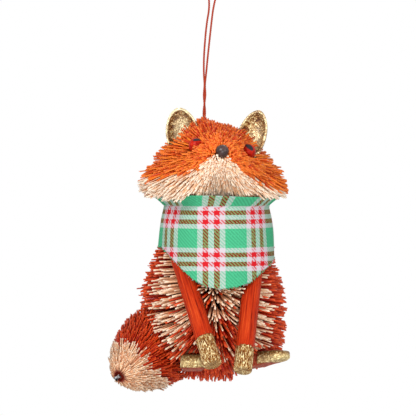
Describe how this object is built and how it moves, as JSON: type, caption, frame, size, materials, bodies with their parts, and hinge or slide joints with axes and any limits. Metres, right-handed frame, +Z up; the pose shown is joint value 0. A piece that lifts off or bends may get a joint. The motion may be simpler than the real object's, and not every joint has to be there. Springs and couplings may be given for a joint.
{
  "type": "fox figurine",
  "caption": "Hanging ornament: a sitting fox of cut bristle on twisted wire with wooden stick legs, carved feet, pod ears and a tartan neck scarf, hung by a twine loop",
  "frame": {"origin": "The hang point: where the inside top of the twine loop rests on a hook.", "axes": "+Z up, the fox faces -Y, +X is to the viewer's right."},
  "size_m": [0.0811, 0.0796, 0.1908],
  "materials": {
    "orange_bristle": "dyed sisal fibre, satin",
    "cream_bristle": "undyed sisal fibre, satin",
    "wire": "galvanised steel wire, twisted",
    "nose_bead": "dark stained and varnished bead",
    "eye_bead": "red stained bead with a dark painted pupil",
    "gold_leaf": "gold painted thin wood",
    "stained_wood": "orange-red stained wood with gold painted paws",
    "tartan_cloth": "woven cotton twill in a green, white and red tartan, raw edge",
    "twine": "twisted two-ply cotton twine"
  },
  "bodies": {
    "root": {"body_wire": "wire", "head_wire": "wire", "tail_wire": "wire", "left_foreleg_pin": "wire", "right_foreleg_pin": "wire", "body_bristles_orange": "orange_bristle", "head_bristles_orange": "orange_bristle", "tail_bristles_orange": "orange_bristle", "body_bristles_cream": "cream_bristle", "head_bristles_cream": "cream_bristle", "tail_bristles_cream": "cream_bristle", "nose": "nose_bead", "left_eye": "eye_bead", "right_eye": "eye_bead", "left_ear": "gold_leaf", "right_ear": "gold_leaf", "left_foreleg": "stained_wood", "right_foreleg": "stained_wood", "left_hind_foot": "stained_wood", "right_hind_foot": "stained_wood", "scarf": "tartan_cloth", "hanging_twine": "twine", "twine_tie": "twine"}
  },
  "joints": []
}
